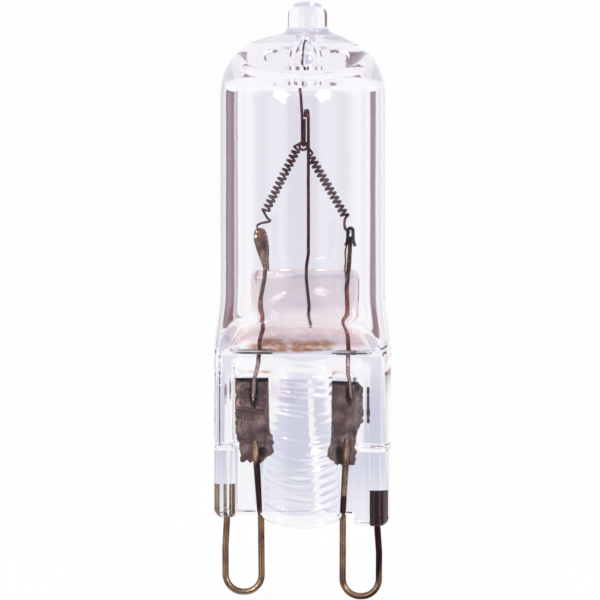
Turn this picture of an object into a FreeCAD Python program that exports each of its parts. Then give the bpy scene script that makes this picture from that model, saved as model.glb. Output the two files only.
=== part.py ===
import FreeCAD, Part
import math
import os

# Halogen capsule bulb with two plug-in wire loops, in millimetres.
# +Z runs up the bulb's axis to its sealed tip, X runs through the two loops, and -Y is the front.
# The origin is on the axis, in the plane where the loops leave the glass.

Vec = FreeCAD.Vector
up = Vec(0, 0, 1)
origin = Vec(0, 0, 0)

# Glass tube, dome and exhaust tip
tube_radius = 6.3
tube_wall = 0.95
tube_length = 14.85
dome_corner_inset = 1.9
dome_crown_radius = 9.0
crown_thickness = 3.2
cavity_corner_radius = 1.6
tip_radius = 1.5
tip_height = 2.25
tip_corner_radius = 1.05
tip_crown_radius = 2.6
tip_offset_x = 0.39
tip_root_radius = 0.55

# Largest turn between two flats of a turned outline, and flats to each corner of a lofted section
arc_step = math.radians(20)
corner_flats = 6

# Lip and blind hole left inside the dome by the exhaust tube
exhaust_radius = 0.95
exhaust_depth = 2.7
exhaust_corner_share = 0.8
exhaust_crown_share = 1.1
exhaust_offset_x = 0.2
lip_width = 1.5
lip_drop = 0.85

# Shoulder between the round tube and the flat pinch
shoulder_height = 5.2
shoulder_sections = 6
corner_share = 0.55
round_share = 0.98

# Flat pinch seal: side rails, thin web and ribbed middle column
pinch_height = 12.2
pinch_half_width = 6.77
rail_half_depth = 2.3
rail_width = 1.6
web_half_thickness = 1.4
web_top_gap = 0.7
pocket_slope = {"left": 0.5, "right": 1.25}
pocket_chamfer = 0.4
foot_height = 5.3
foot_width = 1.76
foot_half_depth = 2.05
foot_round = 0.84
foot_chamfer = 0.25
foot_drop = {"left": 0.2, "right": 0.75}
column_half_width = 2.85
column_half_depth = 2.1
nose_drop = 1.07
nose_height = 1.6
rib_pitch = 0.64
rib_depth = 0.07
rib_sag = 0.85
column_sides = 14
nose_steps = 4
nose_angle = math.radians(72)
floor_thickness = 0.3
floor_round = 0.75

# Molybdenum seal foils
foil_thickness = 0.06
foil_top_gap = 1.7
foil_height = 6.45
foil_width = 2.62
foil_centre_x = {"left": -3.82, "right": 3.52}
foil_lean_x = {"left": 0.42, "right": -0.5}
foil_flare = 0.38

# Lead wires, terminal loops and their flattened welds on the foils
lead_radius = 0.18
lead_weld_length = 1.75
lead_bend_radius = 0.7
lead_bends_x = {"left": (0.1, 0.34, 0.42, 0.74, 0.56, 0.58), "right": (0.1, -0.08, 0.06, -0.1, -0.22, -0.32)}
lead_bends_z = (0.15, 0.9, 0.2, 0.9, 0.3)
terminal_radius = 0.25
terminal_sides = 8
terminal_weld_length = 1.75
weld_flat = 0.05
loop_pitch = 9.0
loop_width = 2.78
loop_drop = {"left": 6.1, "right": 6.43}
loop_leg_lean = 0.16
terminal_embed = {"left": 2.4, "right": 2.05}
loop_bend_share = 0.497
wire_sides = 6
flat_tool_depth = 2.0

# Quartz bridge that carries both leads and the post
bridge_width = 8.3
bridge_height = 4.15
bridge_depth = 2.6
bridge_bevel = 0.6
bridge_gap = 2.2
bridge_centre_x = 0.3
bridge_to_clamp = 0.05

# Strips folded over the filament's tails and squeezed onto the leads
clamp_height = 3.2
clamp_top_width = 1.14
clamp_foot_width = 0.5
clamp_thickness = 0.46
clamp_fold = 0.38
clamp_fold_chamfer = 0.115
clamp_edge_chamfer = 0.08
clamp_slot_length = 1.5
clamp_lead_seat = 1.2
clamp_hole_radius = 0.13
clamp_hole_drop = 0.72
clamp_hole_inset = 0.23
clamp_turn = {"left": 0.0, "right": 75.0}
clamp_lean = {"left": -9.0, "right": 1.0}
clamp_foot_x = {"left": -2.76, "right": 3.6}

# Coiled filament, strung as an inverted V with one open turn at its apex
filament_radius = 0.085
filament_sides = 4
coil_radius = 0.28
coil_pitch = 0.385
coil_turns = 14
coil_steps = 8
coil_foot_rise = {"left": 1.2, "right": 0.85}
coil_foot_x = {"left": -2.84, "right": 3.27}
coil_head_x = {"left": -0.4, "right": 0.54}
apex_radius = 0.3
apex_rise = 0.42
apex_start = math.radians(130)
apex_sweep = math.radians(400)
apex_points = 10
tail_curl = {"left": 0.55, "right": 0.1}
tail_overhang = 0.16
tail_rise = 0.22
tail_grip = 1.15

# Post from the bridge, and wire from the tip, that hold the filament up
post_radius = 0.13
post_x = 0.51
post_y = -0.64
post_embed = 3.6
post_sway = 0.2
post_bend_radius = 0.4
post_bend_rise = 1.2
post_hook_rise = 2.4
post_hook_drop = 0.55
hanger_radius = 0.105
hanger_gauge = 0.33
hanger_lean = 0.12
hanger_straight = 2.0
hanger_tail = 1.75
hanger_seat_depth = 0.35
hanger_seat_x = 0.3
hanger_hook_drop = 1.3
hanger_hook_height = 0.4
hanger_neck_x = -0.22
hanger_clearance = 0.04
touch_gap = 0.01

# Heights and places that follow from the sizes above
sides = {"left": -1, "right": 1}
bore_radius = tube_radius - tube_wall
dome_corner_radius = tube_radius - dome_corner_inset
shoulder_top = pinch_height + shoulder_height
dome_start = shoulder_top + tube_length
crown_top = dome_start + dome_crown_radius - math.sqrt(
    (dome_crown_radius - dome_corner_radius) ** 2 - (tube_radius - dome_corner_radius) ** 2
)
cavity_top = crown_top - crown_thickness
cavity_floor = pinch_height + floor_thickness
lip_bottom = cavity_top - lip_drop
foil_top = pinch_height - foil_top_gap
foil_bottom = foil_top - foil_height
lead_weld_y = -(foil_thickness / 2 + lead_radius - weld_flat)
terminal_weld_y = -(foil_thickness / 2 + terminal_radius - weld_flat)
bridge_bottom = cavity_floor + bridge_gap
bridge_top = bridge_bottom + bridge_height
clamp_bottom = bridge_top + bridge_to_clamp
clamp_top = clamp_bottom + clamp_height
coil_length = coil_pitch * coil_turns


def coil_foot(side):
    return Vec(coil_foot_x[side], 0, clamp_top + coil_foot_rise[side])


def coil_head(side):
    """Top of one filament leg's axis, found from its slope and its length along the coil."""
    run = coil_head_x[side] - coil_foot_x[side]
    return coil_foot(side) + Vec(run, 0, math.sqrt(coil_length**2 - run**2))


def apex_centre():
    """Centre of the open turn at the filament's apex."""
    left, right = coil_head("left"), coil_head("right")
    return Vec((left.x + right.x) / 2, 0, (left.z + right.z) / 2 + apex_rise)


def clamp_place(side):
    """Where a clamp stands: its foot on the lead, turned about its height and leaning along X."""
    turn = FreeCAD.Rotation(Vec(0, 1, 0), clamp_lean[side]) * FreeCAD.Rotation(up, clamp_turn[side])
    return FreeCAD.Placement(Vec(clamp_foot_x[side], 0, clamp_bottom), turn)


def smooth(t):
    """Eases from 0 to 1 with level ends."""
    t = min(1.0, max(0.0, t))
    return t * t * (3 - 2 * t)


def corner_turns(quarter, start, end):
    """Angles of one rounded corner's points, from start to end within its quarter turn."""
    step = (end - start) / corner_flats
    return [math.pi / 2 * quarter + start + step * i for i in range(corner_flats + 1)]


def rounded_section(z, half_width, half_depth, corner):
    """Closed rounded rectangle at height z, with corner_flats flats round each corner."""
    points = []
    for quarter, (sx, sy) in enumerate(((1, 1), (-1, 1), (-1, -1), (1, -1))):
        centre = Vec(sx * (half_width - corner), sy * (half_depth - corner), z)
        for t in corner_turns(quarter, 0, math.pi / 2):
            points.append(centre + Vec(corner * math.cos(t), corner * math.sin(t), 0))
    return Part.makePolygon(points + points[:1])


def round_section(z, radius):
    """Circle cut into as many arcs as a rounded section has flats, to end a loft on a true round."""
    flat = math.asin(1 - round_share)
    turns = []
    for quarter in range(4):
        turns += corner_turns(quarter, flat, math.pi / 2 - flat)
    arcs = []
    for start, end in zip(turns, turns[1:] + [turns[0] + 2 * math.pi]):
        points = [Vec(radius * math.cos(t), radius * math.sin(t), z) for t in (start, (start + end) / 2, end)]
        arcs.append(Part.Arc(*points).toShape())
    return Part.Wire(arcs)


def block(half_width, half_depth, low, high, centre_x=0.0):
    """Upright box centred on centre_x and on the pinch's middle plane."""
    corner = Vec(centre_x - half_width, -half_depth, low)
    return Part.makeBox(2 * half_width, 2 * half_depth, high - low, corner)


def rounded_path(points, bend_radius):
    """Straight runs joined by tangent arcs, each arc as large as bend_radius and its runs allow."""
    edges, start = [], points[0]
    for before, corner, after in zip(points, points[1:], points[2:]):
        back, ahead = before - corner, after - corner
        shorter = min(back.Length, ahead.Length)
        turn = math.pi - back.getAngle(ahead)
        if turn < 0.01:
            continue
        cut = min(bend_radius * math.tan(turn / 2), 0.48 * shorter)
        arc_radius = cut / math.tan(turn / 2)
        back.normalize()
        ahead.normalize()
        arc_start, arc_end = corner + back * cut, corner + ahead * cut
        inward = (back + ahead).normalize()
        bulge = arc_radius / math.cos(turn / 2) - arc_radius
        edges.append(Part.LineSegment(start, arc_start).toShape())
        edges.append(Part.Arc(arc_start, corner + inward * bulge, arc_end).toShape())
        start = arc_end
    edges.append(Part.LineSegment(start, points[-1]).toShape())
    return Part.Wire(edges)


def many_sided(point, turn, radius, sides):
    """Many-sided profile of a wire. Its flats keep the fine wires light."""
    corners = []
    for i in range(sides):
        angle = 2 * math.pi * (i + 0.5) / sides
        corners.append(point + turn.multVec(Vec(radius * math.cos(angle), radius * math.sin(angle), 0)))
    return Part.makePolygon(corners + corners[:1])


def rod(path, radius, sides=wire_sides):
    """Wire swept along a path."""
    first = path.Edges[0]
    start = first.valueAt(first.FirstParameter)
    heading = first.tangentAt(first.FirstParameter)
    profile = many_sided(start, FreeCAD.Rotation(up, heading), radius, sides)
    return path.makePipeShell([profile], True, False)


def bent_rod(points, radius, bend_radius, sides=wire_sides):
    return rod(rounded_path([Vec(*p) for p in points], bend_radius), radius, sides)


def arc_points(centre_x, centre_z, radius, start, end):
    """Points along an arc in the XZ plane, in steps of about arc_step. Angles run from +X towards +Z."""
    steps = max(2, round(abs(end - start) / arc_step))
    points = []
    for i in range(steps + 1):
        angle = start + (end - start) * i / steps
        points.append(Vec(centre_x + radius * math.cos(angle), 0, centre_z + radius * math.sin(angle)))
    return points


def dome_drop(radius, corner_radius, crown_radius):
    """How far the crown's centre lies under the corner's, so that the two arcs meet smoothly."""
    return math.sqrt((crown_radius - corner_radius) ** 2 - (radius - corner_radius) ** 2)


def domed_profile(radius, corner_radius, crown_radius, foot, corner_start):
    """Half section of a round body with a domed top. The foot's points run from its axis outwards."""
    across = radius - corner_radius
    drop = dome_drop(radius, corner_radius, crown_radius)
    meeting = math.atan2(drop, across)
    corner = arc_points(across, corner_start, corner_radius, 0, meeting)
    crown = arc_points(0, corner_start - drop, crown_radius, meeting, math.pi / 2)
    crown[-1].x = 0
    return Part.makePolygon([*foot, *corner, *crown[1:], foot[0]])


def turned(outline, offset_x=0.0):
    """Closed outline turned once round the Z axis, then set off along X."""
    solid = Part.Face(outline).revolve(origin, up, 360)
    solid.translate(Vec(offset_x, 0, 0))
    return solid


def shoulder_size(z):
    """Half width, half depth and corner radius of the outside at height z."""
    t = smooth((z - pinch_height) / shoulder_height)
    half_width = pinch_half_width + (tube_radius - pinch_half_width) * t
    half_depth = rail_half_depth + (tube_radius - rail_half_depth) * t
    share = corner_share + (round_share - corner_share) * t
    return half_width, half_depth, share * half_depth


def tube_with_tip():
    """Round tube and dome, with the sealed stub of the exhaust tube off its middle."""
    foot = [Vec(0, 0, shoulder_top), Vec(tube_radius, 0, shoulder_top)]
    dome = turned(domed_profile(tube_radius, dome_corner_radius, dome_crown_radius, foot, dome_start))
    return dome.fuse(sealed_tip())


def sealed_tip():
    """Stub of the exhaust tube, whose root flares onto the crown."""
    flare = tip_radius + tip_root_radius
    reach = tip_offset_x + flare
    landing = crown_top - dome_crown_radius + math.sqrt(dome_crown_radius**2 - reach**2)
    buried = landing - tip_root_radius
    foot = [Vec(0, 0, buried), Vec(flare, 0, buried)]
    foot += arc_points(flare, landing + tip_root_radius, tip_root_radius, 1.5 * math.pi, math.pi)
    rise = tip_crown_radius - dome_drop(tip_radius, tip_corner_radius, tip_crown_radius)
    corner_start = crown_top + tip_height - rise
    profile = domed_profile(tip_radius, tip_corner_radius, tip_crown_radius, foot, corner_start)
    return turned(profile, tip_offset_x)


def shoulder():
    """Smooth body that turns the round tube into the flat pinch."""
    sections = []
    for i in range(shoulder_sections):
        z = pinch_height + shoulder_height * i / shoulder_sections
        sections.append(rounded_section(z, *shoulder_size(z)))
    sections.append(round_section(shoulder_top, tube_radius))
    return Part.makeLoft(sections, True, True)


def pocket_outline(z, half_depth, sign=1):
    """Section of the thin web at height z, thickened by a slope to half_depth at the rails or feet."""
    reach = pinch_half_width - rail_width
    left = Vec(-reach, half_depth, z)
    left_low = Vec(-reach + pocket_slope["left"], web_half_thickness, z)
    right_low = Vec(reach - pocket_slope["right"], web_half_thickness, z)
    right = Vec(reach, half_depth, z)
    return [Vec(p.x, sign * p.y, z) for p in (left, left_low, right_low, right)]


def pinch_rails():
    """Upper part of the pinch, with the front and back pockets pressed in between its two rails."""
    section = rounded_section(foot_height, *shoulder_size(pinch_height))
    body = Part.Face(section).extrude(up * (pinch_height - foot_height))
    top = pinch_height - web_top_gap
    proud = Vec(0, rail_half_depth, 0)
    for sign in (-1, 1):
        outline = pocket_outline(foot_height - 1, rail_half_depth, sign)
        outline = [outline[0] + proud * sign, *outline, outline[-1] + proud * sign]
        tool = Part.Face(Part.makePolygon(outline + outline[:1])).extrude(up * (top - foot_height + 1))
        deep = sign * web_half_thickness
        edges = [
            e
            for e in tool.Edges
            if abs(e.BoundBox.YMin - deep) < 1e-6
            and abs(e.BoundBox.YMax - deep) < 1e-6
            and e.BoundBox.ZMin > foot_height
        ]
        body = body.cut(tool.makeChamfer(pocket_chamfer, edges))
    return body


def foot_x(side):
    """Middle of a foot, whose outer face is flush with the pinch's."""
    return sides[side] * (pinch_half_width - foot_width / 2)


def pinch_foot(side):
    """Lower end of one rail: a leg with half-round front and back, as deep as the slope beside it."""
    low = -foot_drop[side]
    leg = block(foot_width / 2, foot_half_depth, low, foot_height, foot_x(side))
    upright = [e for e in leg.Edges if e.BoundBox.ZLength > foot_height / 2]
    leg = leg.makeFillet(foot_round, upright)
    bottom = [e for e in leg.Edges if abs(e.BoundBox.ZMax - low) < 1e-6]
    return leg.makeChamfer(foot_chamfer, bottom)


def foot_slope(side):
    """Sloped web beside a foot, which reaches as far down as the foot does."""
    low = -foot_drop[side]
    depth = foot_half_depth - foot_chamfer
    slope = pocket_outline(low, depth)
    front = [Vec(foot_x(side), depth, low)]
    front += slope[:2] if side == "left" else slope[:1:-1]
    outline = front + [Vec(p.x, -p.y, low) for p in reversed(front)]
    return Part.Face(Part.makePolygon(outline + outline[:1])).extrude(up * (foot_height - low))


def column_section(z, half_width, half_depth, sag):
    """Many-sided oval whose front and back hang lower than its sides by sag."""
    corners = []
    for i in range(column_sides):
        angle = 2 * math.pi * (i + 0.5) / column_sides
        c, s = math.cos(angle), math.sin(angle)
        x = half_width * math.copysign(abs(c) ** 0.85, c)
        y = half_depth * math.copysign(abs(s) ** 0.85, s)
        corners.append(Vec(x, y, z - sag * s * s))
    return Part.makePolygon(corners + corners[:1])


def ribbed_column():
    """Thick middle of the pinch, with the shallow press ribs that sag towards its rounded nose."""
    sections = []
    top = pinch_height - web_top_gap / 2
    steps = 2 * int((top - nose_height) / rib_pitch)
    for i in range(steps + 1):
        z = top - i * rib_pitch / 2
        sag = rib_sag * smooth(1 - z / (0.75 * top))
        inset = rib_depth * (i % 2)
        sections.append(column_section(z, column_half_width - inset, column_half_depth - inset, sag))
    last = top - steps * rib_pitch / 2
    for i in range(1, nose_steps + 1):
        angle = nose_angle * i / nose_steps
        z = last - (last + nose_drop) * math.sin(angle) / math.sin(nose_angle)
        share = math.cos(angle)
        sag = rib_sag * (1 - i / nose_steps)
        sections.append(column_section(z, column_half_width * share, column_half_depth * share, sag))
    return Part.makeLoft(sections, True, True)


def cavity():
    """Gas space: the round bore with its flat top, lip and blind exhaust hole, and the flattened floor."""
    corner = cavity_corner_radius
    edge = arc_points(bore_radius - corner, cavity_top - corner, corner, 0, math.pi / 2)
    outline = [Vec(0, 0, shoulder_top), Vec(bore_radius, 0, shoulder_top), *edge, Vec(0, 0, cavity_top)]
    space = turned(Part.makePolygon(outline + outline[:1]))
    space = space.cut(exhaust_lip()).fuse(exhaust_hole())
    return space.fuse(cavity_floor_space())


def cavity_floor_space():
    """Lower part of the gas space, which flattens with the shoulder and ends in a rounded floor."""
    sections = []
    steps = shoulder_sections
    for i in range(steps):
        z = cavity_floor + (shoulder_top - cavity_floor) * (i / steps) ** 1.6
        half_width, half_depth, _ = shoulder_size(z)
        rise = min(1.0, (z - cavity_floor) / floor_round)
        inset = tube_wall + floor_round * (1 - math.sqrt(1 - (1 - rise) ** 2))
        flat = (tube_radius - half_depth) / (tube_radius - rail_half_depth)
        inner_depth = half_depth - inset + 0.25 * floor_round * flat
        corner = inner_depth * (round_share - 0.2 * flat)
        sections.append(rounded_section(z, half_width - inset, inner_depth, corner))
    sections.append(round_section(shoulder_top, bore_radius))
    return Part.makeLoft(sections, True, True)


def exhaust_lip():
    """Rounded ring of glass that the joined exhaust tube left round its hole."""
    half = lip_width / 2
    centre = exhaust_radius + half
    top = cavity_top + 1.0
    outline = arc_points(centre, lip_bottom + half, half, math.pi, 2 * math.pi)
    outline += [Vec(centre + half, 0, top), Vec(exhaust_radius, 0, top)]
    return turned(Part.makePolygon(outline + outline[:1]), exhaust_offset_x)


def exhaust_hole():
    """Blind hole up into the sealed tip, with a round end."""
    corner = exhaust_corner_share * exhaust_radius
    foot = [Vec(0, 0, cavity_top), Vec(exhaust_radius, 0, cavity_top)]
    crown = exhaust_crown_share * exhaust_radius
    profile = domed_profile(exhaust_radius, corner, crown, foot, cavity_top + exhaust_depth - corner)
    return turned(profile, exhaust_offset_x)


def glass_blank():
    """The whole envelope before anything is sealed into it."""
    web = block(pinch_half_width - foot_width / 2, web_half_thickness, 0, foot_height)
    solids = [shoulder(), pinch_rails(), web, ribbed_column()]
    solids += [pinch_foot(side) for side in sides] + [foot_slope(side) for side in sides]
    return tube_with_tip().multiFuse(solids).cut(cavity()).removeSplitter()


def seal_foil(side):
    """Thin foil that leans a little, with an outward flare where the glass flow spread its lower end."""
    sign = sides[side]
    top_x, lean = foil_centre_x[side], foil_lean_x[side]
    half = foil_width / 2

    def at(across, share):
        return Vec(
            top_x + lean * share + across * half, -foil_thickness / 2, foil_top - foil_height * share
        )

    outline = [
        at(-sign, 0.0),
        at(-sign, 0.72),
        at(-sign, 0.76) - Vec(sign * foil_flare, 0, 0),
        at(-sign, 0.93) - Vec(sign * foil_flare, 0, 0),
        at(-sign * 0.2, 1.0),
        at(sign, 1.0),
        at(sign, 0.8),
        at(sign, 0.0),
    ]
    face = Part.Face(Part.makePolygon(outline + outline[:1]))
    return face.extrude(Vec(0, foil_thickness, 0))


def foil_x(side, z):
    """Middle of a foil at height z."""
    return foil_centre_x[side] + foil_lean_x[side] * (foil_top - z) / foil_height


def flattened(wire, side):
    """Wire with the flat that its weld to the foil presses into it."""
    corner = Vec(foil_centre_x[side] - foil_width, -foil_thickness / 2, foil_bottom - terminal_radius)
    tool = Part.makeBox(2 * foil_width, flat_tool_depth, foil_height + 2 * terminal_radius, corner)
    return wire.cut(tool)


def lead_wire(side):
    """Bent wire from its weld on the foil, up through the floor and the bridge, into the clamp."""
    y = lead_weld_y
    low = foil_top - lead_weld_length
    seat = foil_x(side, low)
    place = clamp_place(side)
    bridge_middle = (bridge_bottom + bridge_top) / 2
    heights = (foil_top, cavity_floor, cavity_floor, bridge_bottom, bridge_bottom, bridge_middle)
    above_foil, above_floor, in_bridge, bridge_bend, past_middle = lead_bends_z
    rises = (above_foil, 0, above_floor, in_bridge, bridge_bend, past_middle)
    depths = (y, y, y, y, y / 2, 0)
    points = [(seat, y, low)]
    for x, depth, height, rise in zip(lead_bends_x[side], depths, heights, rises):
        points.append((seat + x, depth, height + rise))
    points.append(tuple(place.Base))
    points.append(tuple(place.multVec(Vec(0, 0, clamp_lead_seat))))
    return flattened(bent_rod(points, lead_radius, lead_bend_radius), side)


def terminal_loop(side):
    """Hairpin terminal: one leg is welded to the foil, and the other ends blind in the rail's foot."""
    sign = sides[side]
    y = terminal_weld_y
    centre = sign * loop_pitch / 2
    inner = centre - sign * loop_width / 2
    outer = centre + sign * loop_width / 2
    bottom = -loop_drop[side] + terminal_radius
    weld_top = foil_bottom + terminal_weld_length
    points = [
        (foil_x(side, weld_top), y, weld_top),
        (inner - sign * 0.05, y, 0),
        (inner, y, bottom),
        (outer, y, bottom),
        (outer + sign * 0.02, y, bottom / 2 + 0.3),
        (outer - sign * loop_leg_lean, y, 0.2),
        (outer - sign * loop_leg_lean, y, terminal_embed[side]),
    ]
    loop = bent_rod(points, terminal_radius, loop_bend_share * loop_width, terminal_sides)
    return flattened(loop, side)


def quartz_bridge():
    """Pressed quartz bead that ties both leads and the post together."""
    bead = block(bridge_width / 2, bridge_depth / 2, bridge_bottom, bridge_top, bridge_centre_x)
    return bead.makeChamfer(bridge_bevel, bead.Edges)


def filament_clamp(side):
    """Strip folded over at the top and tapered to the lead, with the slot between its leaves and a hole."""
    foot = clamp_foot_width / 2
    head = clamp_top_width / 2
    half = clamp_thickness / 2

    def section(half_width, z):
        corners = [
            Vec(-half_width, -half, z),
            Vec(half_width, -half, z),
            Vec(half_width, half, z),
            Vec(-half_width, half, z),
        ]
        return Part.makePolygon(corners + corners[:1])

    strip = Part.makeLoft([section(foot, 0), section(head, clamp_height)], True, True)
    upright = [e for e in strip.Edges if e.BoundBox.ZLength > clamp_height / 2]
    strip = strip.makeChamfer(clamp_edge_chamfer, upright)
    fold = [e for e in strip.Edges if e.BoundBox.ZMin > clamp_height - touch_gap]
    strip = strip.makeChamfer(clamp_fold_chamfer, fold)
    slot_top = clamp_height - clamp_fold
    slot = Part.makeBox(
        4 * head,
        2 * filament_radius,
        clamp_slot_length,
        Vec(-2 * head, -filament_radius, slot_top - clamp_slot_length),
    )
    hole_start = Vec(-clamp_hole_inset, -clamp_thickness, clamp_height - clamp_hole_drop)
    hole = Part.makeCylinder(clamp_hole_radius, 2 * clamp_thickness, hole_start, Vec(0, 1, 0))
    strip = strip.cut(slot).cut(hole)
    strip.Placement = clamp_place(side)
    return strip


def coil_leg(side):
    """Points along one filament leg, from its foot to its head. Both ends lie on the V's outer side."""
    axis = coil_head(side) - coil_foot(side)
    place = FreeCAD.Placement(coil_foot(side), FreeCAD.Rotation(up, axis))
    start = math.pi if side == "left" else 0.0
    points = []
    for i in range(coil_turns * coil_steps + 1):
        turns = i / coil_steps
        angle = start + 2 * math.pi * turns
        reach = Vec(coil_radius * math.cos(angle), coil_radius * math.sin(angle), coil_pitch * turns)
        points.append(place.multVec(reach))
    return points


def smooth_points(points, start_heading, end_heading, count):
    """Points spread evenly along a smooth curve through a few points, with set headings at its ends."""
    curve = Part.BSplineCurve()
    curve.interpolate(points, InitialTangent=start_heading, FinalTangent=end_heading, Scale=True)
    return curve.toShape().discretize(count)


def apex_turn(left, right):
    """Open turn of the filament, from the left leg's head, once round and over, to the right leg's head."""
    centre = apex_centre()
    depth = 1.5 * filament_radius
    points = [left[-1]]
    for i in range(apex_points):
        share = i / (apex_points - 1)
        angle = apex_start - apex_sweep * share
        y = depth * (2 * share - 1)
        points.append(centre + Vec(apex_radius * math.cos(angle), y, apex_radius * math.sin(angle)))
    points.append(right[-1])
    return smooth_points(points, left[-1] - left[-2], right[-2] - right[-1], 4 * coil_steps)


def filament_tail(side, leg):
    """Straightened end of the filament, from inside the clamp's slot, round its edge, to the coil."""
    place = clamp_place(side)
    head = clamp_top_width / 2
    slot_top = clamp_height - clamp_fold
    inside = place.multVec(Vec(0.35 * head, 0, slot_top - tail_grip))
    leaving = place.multVec(Vec(-0.75 * head, 0, slot_top - 0.4 * tail_grip))
    beside = place.multVec(Vec(-head - tail_overhang, 0, slot_top))
    above = place.multVec(Vec(-0.85 * head, 0, clamp_height + tail_rise))
    foot = leg[0]
    curl = Vec(foot.x + tail_curl[side], 0.12, (foot.z + above.z) / 2 - 0.1)
    points = [inside, leaving, beside, above, curl, foot]
    return smooth_points(points, leaving - inside, leg[1] - foot, 3 * coil_steps)


def filament():
    """One coiled wire: a tail in each clamp, two coiled legs and the open turn at the apex."""
    left, right = coil_leg("left"), coil_leg("right")
    path = filament_tail("left", left) + left[1:] + apex_turn(left, right)[1:]
    path += right[-2::-1] + filament_tail("right", right)[-2::-1]
    sections = []
    heading = path[1] - path[0]
    turn = FreeCAD.Rotation(up, heading)
    for i, point in enumerate(path):
        onward = path[min(i + 1, len(path) - 1)] - path[max(i - 1, 0)]
        turn = FreeCAD.Rotation(heading, onward) * turn
        heading = onward
        sections.append(many_sided(point, turn, filament_radius, filament_sides))
    return Part.makeLoft(sections, True, True)


def hanger_foot():
    """Centre of the bend at the tip wire's lower end, which carries the filament's open turn."""
    centre = apex_centre()
    return Vec(centre.x, 0, centre.z + apex_radius + hanger_clearance)


def tip_wire():
    """Wire sealed in the exhaust hole's back wall, down and under the filament's apex, and up again."""
    bend = hanger_foot()
    hook_top = cavity_top + exhaust_depth - hanger_hook_drop
    low = bend.z - hanger_gauge
    back, front = hanger_gauge, -hanger_gauge
    points = [
        (hanger_seat_x, exhaust_radius + hanger_seat_depth, hook_top - hanger_hook_height),
        (hanger_seat_x / 2, exhaust_radius - 2 * hanger_radius, hook_top),
        (0, exhaust_radius / 2, hook_top - 1.5 * hanger_hook_height),
        (hanger_neck_x, back, lip_bottom),
        (bend.x - hanger_lean, back, bend.z + hanger_straight),
        (bend.x - hanger_lean, back, low),
        (bend.x + hanger_lean, front, low),
        (bend.x + hanger_lean, front, bend.z + hanger_tail),
    ]
    return bent_rod(points, hanger_radius, 0.98 * hanger_gauge)


def support_post():
    """Post fused in the bridge, with a hook at its top that is welded to the tip wire."""
    bend = hanger_foot()
    hook = bend.z + post_hook_rise
    contact = bend.x - hanger_lean + post_radius + hanger_radius + touch_gap
    low = bridge_top - post_embed
    points = [
        (post_x + post_sway, 0, low),
        (post_x - post_sway, 0, bridge_top - 2 * post_sway),
        (post_x - post_sway, 0, bridge_top + 2 * post_sway),
        (post_x, post_y, bridge_top + post_bend_rise),
        (post_x, post_y, hook),
        (contact, hanger_gauge, hook),
        (contact, hanger_gauge, hook - post_hook_drop),
    ]
    return bent_rod(points, post_radius, post_bend_radius)


def save(name, shape):
    solids = shape.Solids
    result = solids[0] if len(solids) == 1 else Part.makeCompound(solids)
    result.exportStep(os.path.join("parts", name + ".step"))
    print(name, len(solids), "solid", round(shape.Volume, 3), "mm3", "valid", shape.isValid())


def main():
    os.makedirs("parts", exist_ok=True)
    sealed, inner = {}, {}
    for side in sides:
        foil = seal_foil(side)
        sealed[side + "_seal_foil"] = foil
        sealed[side + "_lead_wire"] = lead_wire(side)
        sealed[side + "_terminal_loop"] = terminal_loop(side)
        inner[side + "_filament_clamp"] = filament_clamp(side).cut(sealed[side + "_lead_wire"])
    tip, post = tip_wire(), support_post()
    inner["filament"] = filament()
    leads = [sealed[side + "_lead_wire"] for side in sides]
    inner["mount_bridge"] = quartz_bridge().cut(leads + [post])
    inner["support_post"] = post
    inner["tip_wire"] = tip
    inside_pinch = block(2 * tube_radius, tube_radius, -1, cavity_floor + 0.2)
    cores = [piece.common(inside_pinch) for piece in sealed.values()]
    envelope = glass_blank().cut(cores + [tip])
    for name, shape in {"glass_envelope": envelope, **sealed, **inner}.items():
        save(name, shape)


if __name__ == "__main__":
    main()
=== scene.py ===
import math
import bmesh
import bpy
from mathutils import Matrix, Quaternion, Vector, noise


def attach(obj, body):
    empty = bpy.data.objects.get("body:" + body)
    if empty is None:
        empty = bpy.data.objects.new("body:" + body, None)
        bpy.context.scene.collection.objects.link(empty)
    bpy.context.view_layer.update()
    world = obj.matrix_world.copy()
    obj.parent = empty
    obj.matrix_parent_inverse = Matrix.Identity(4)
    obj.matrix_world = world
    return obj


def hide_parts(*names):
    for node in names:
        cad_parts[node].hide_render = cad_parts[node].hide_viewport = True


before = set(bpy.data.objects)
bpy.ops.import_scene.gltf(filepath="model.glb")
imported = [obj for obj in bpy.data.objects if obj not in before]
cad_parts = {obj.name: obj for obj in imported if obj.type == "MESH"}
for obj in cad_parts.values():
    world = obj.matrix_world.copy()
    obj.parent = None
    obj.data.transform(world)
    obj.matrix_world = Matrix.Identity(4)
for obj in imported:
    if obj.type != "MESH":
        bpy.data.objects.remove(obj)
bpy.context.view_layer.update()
print("frame loaded")

# The pieces' sizes and places are in millimetres, and turns are in degrees
mm = 0.001
sides = ("left", "right")


# Small helpers
def limit(t):
    return min(1.0, max(0.0, t))


def ease(t):
    t = limit(t)
    return t * t * (3 - 2 * t)


def between(a, b, t):
    return a + (b - a) * t


def signedPower(value, power):
    return math.copysign(abs(value) ** power, value)


def finishPiece(bm, name, material, replaced, smoothAngle=60):
    mesh = bpy.data.meshes.new(name)
    bm.to_mesh(mesh)
    bm.free()
    mesh.materials.append(material)
    piece = bpy.data.objects.new(name, mesh)
    bpy.context.collection.objects.link(piece)
    mesh.shade_smooth()
    mesh.set_sharp_from_angle(angle=math.radians(smoothAngle))
    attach(piece, "root")
    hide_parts(replaced)
    return piece


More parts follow.
